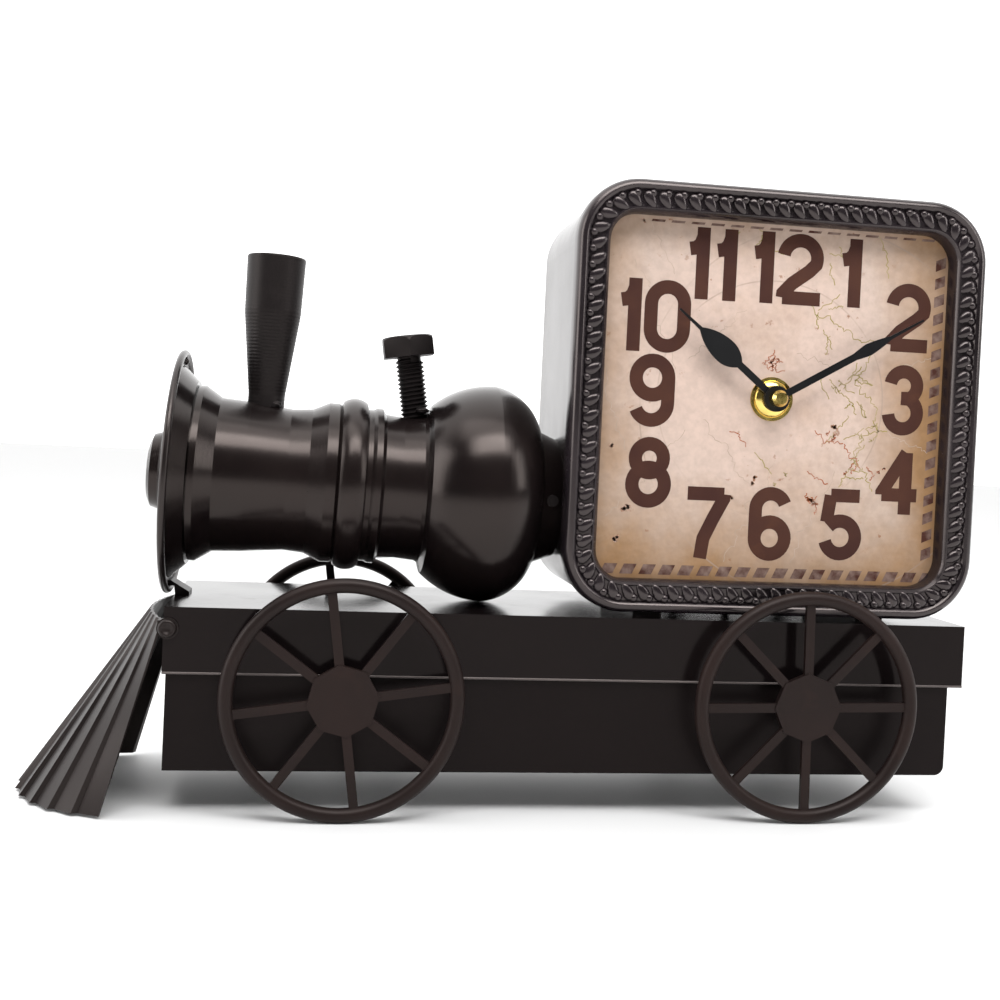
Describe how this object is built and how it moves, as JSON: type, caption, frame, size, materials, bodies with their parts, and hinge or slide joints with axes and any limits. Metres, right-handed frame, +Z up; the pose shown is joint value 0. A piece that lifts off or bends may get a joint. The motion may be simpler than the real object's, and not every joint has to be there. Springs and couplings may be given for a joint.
{
  "type": "locomotive table clock",
  "caption": "Table clock shaped like a steam locomotive: square cab with a dial, turned boiler, chimney, bolt dome, pleated cowcatcher and spoked wheels.",
  "frame": {"origin": "on the ground under the middle of the whole outline", "axes": "+X from the nose to the cab, +Y from the dial to the back, +Z up; the dial faces -Y and the nose points to -X"},
  "size_m": [0.3196, 0.0912, 0.2112],
  "materials": {
    "black_paint": "satin to glossy dark brown-black enamel on tin",
    "black_bolt": "satin dark enamel on a steel bolt",
    "wheel_paint": "matte dark brown enamel on steel",
    "bare_steel": "zinc-plated",
    "dial_print": "matte printed card with an aged map and dark numerals",
    "brass": "polished",
    "hand_black": "satin black enamel",
    "movement_plastic": "moulded black plastic",
    "gear_plastic": "natural acetal",
    "circuit_green": "lacquered board",
    "copper_coil": "enamelled copper wire",
    "battery_wrap": "plain printed sleeve"
  },
  "bodies": {
    "root": {"chassis_box": "black_paint", "chassis_deck": "black_paint", "axle_bushes": "bare_steel", "cowcatcher": "black_paint", "cowcatcher_rivets": "black_paint", "disc_foot_bracket": "black_paint", "smokebox_disc": "black_paint", "smokebox_dish": "black_paint", "smokebox_rivet": "black_paint", "smokebox_boss": "black_paint", "boiler_barrel": "black_paint", "firebox_bulb": "black_paint", "neck_collar": "black_paint", "neck_screw": "black_bolt", "tie_rod": "bare_steel", "tie_rod_nut": "bare_steel", "chimney": "black_paint", "chimney_screw": "bare_steel", "dome_bolt": "black_bolt", "dome_nut": "bare_steel", "cab_housing": "black_paint", "cab_spacers": "black_paint", "cab_screws": "bare_steel", "cab_bezel": "black_paint", "dial_plate": "dial_print", "cover_tabs": "black_paint", "back_cover": "black_paint", "back_cover_screws": "bare_steel", "movement_front_case": "movement_plastic", "movement_back_case": "movement_plastic", "movement_stem": "brass", "motion_post": "bare_steel", "dial_washer": "brass", "dial_nut": "brass", "circuit_board": "circuit_green", "motor_coil": "copper_coil", "motor_stator": "bare_steel", "battery_contacts": "bare_steel"},
    "minute_work": {"minute_hand": "hand_black", "minute_arbor": "gear_plastic", "hand_cap": "brass"},
    "hour_work": {"hour_hand": "hand_black", "hour_wheel": "gear_plastic"},
    "motion_gear": {"motion_wheel": "gear_plastic"},
    "setting_knob_set": {"setting_knob": "gear_plastic"},
    "battery_cell": {"battery": "battery_wrap"},
    "front_wheelset": {"front_axle": "wheel_paint", "front_wheel_near": "wheel_paint", "front_wheel_far": "wheel_paint"},
    "rear_wheelset": {"rear_axle": "wheel_paint", "rear_wheel_near": "wheel_paint", "rear_wheel_far": "wheel_paint"}
  },
  "joints": [
    {"name": "minute_turn", "type": "hinge", "parent": "root", "child": "minute_work", "pos_m": [0.087, -0.03, 0.1409], "axis": [0, 1, 0], "continuous": true},
    {"name": "hour_turn", "type": "hinge", "parent": "root", "child": "hour_work", "pos_m": [0.087, -0.03, 0.1409], "axis": [0, 1, 0], "continuous": true},
    {"name": "motion_turn", "type": "hinge", "parent": "root", "child": "motion_gear", "pos_m": [0.093, -0.022, 0.15129], "axis": [0, 1, 0], "continuous": true},
    {"name": "knob_turn", "type": "hinge", "parent": "root", "child": "setting_knob_set", "pos_m": [0.08261, -0.007, 0.15729], "axis": [0, 1, 0], "continuous": true},
    {"name": "battery_slide", "type": "slide", "parent": "root", "child": "battery_cell", "axis": [0, 1, 0], "range_m": [0, 0.03]},
    {"name": "front_wheels_turn", "type": "hinge", "parent": "root", "child": "front_wheelset", "pos_m": [-0.0541, 0, 0.0386], "axis": [0, 1, 0], "continuous": true},
    {"name": "rear_wheels_turn", "type": "hinge", "parent": "root", "child": "rear_wheelset", "pos_m": [0.099, 0, 0.0386], "axis": [0, 1, 0], "continuous": true}
  ],
  "couplings": [
    {"joint": "hour_turn", "follows": "minute_turn", "ratio": 0.083333},
    {"joint": "motion_turn", "follows": "minute_turn", "ratio": -0.33333},
    {"joint": "knob_turn", "follows": "minute_turn", "ratio": 1}
  ]
}
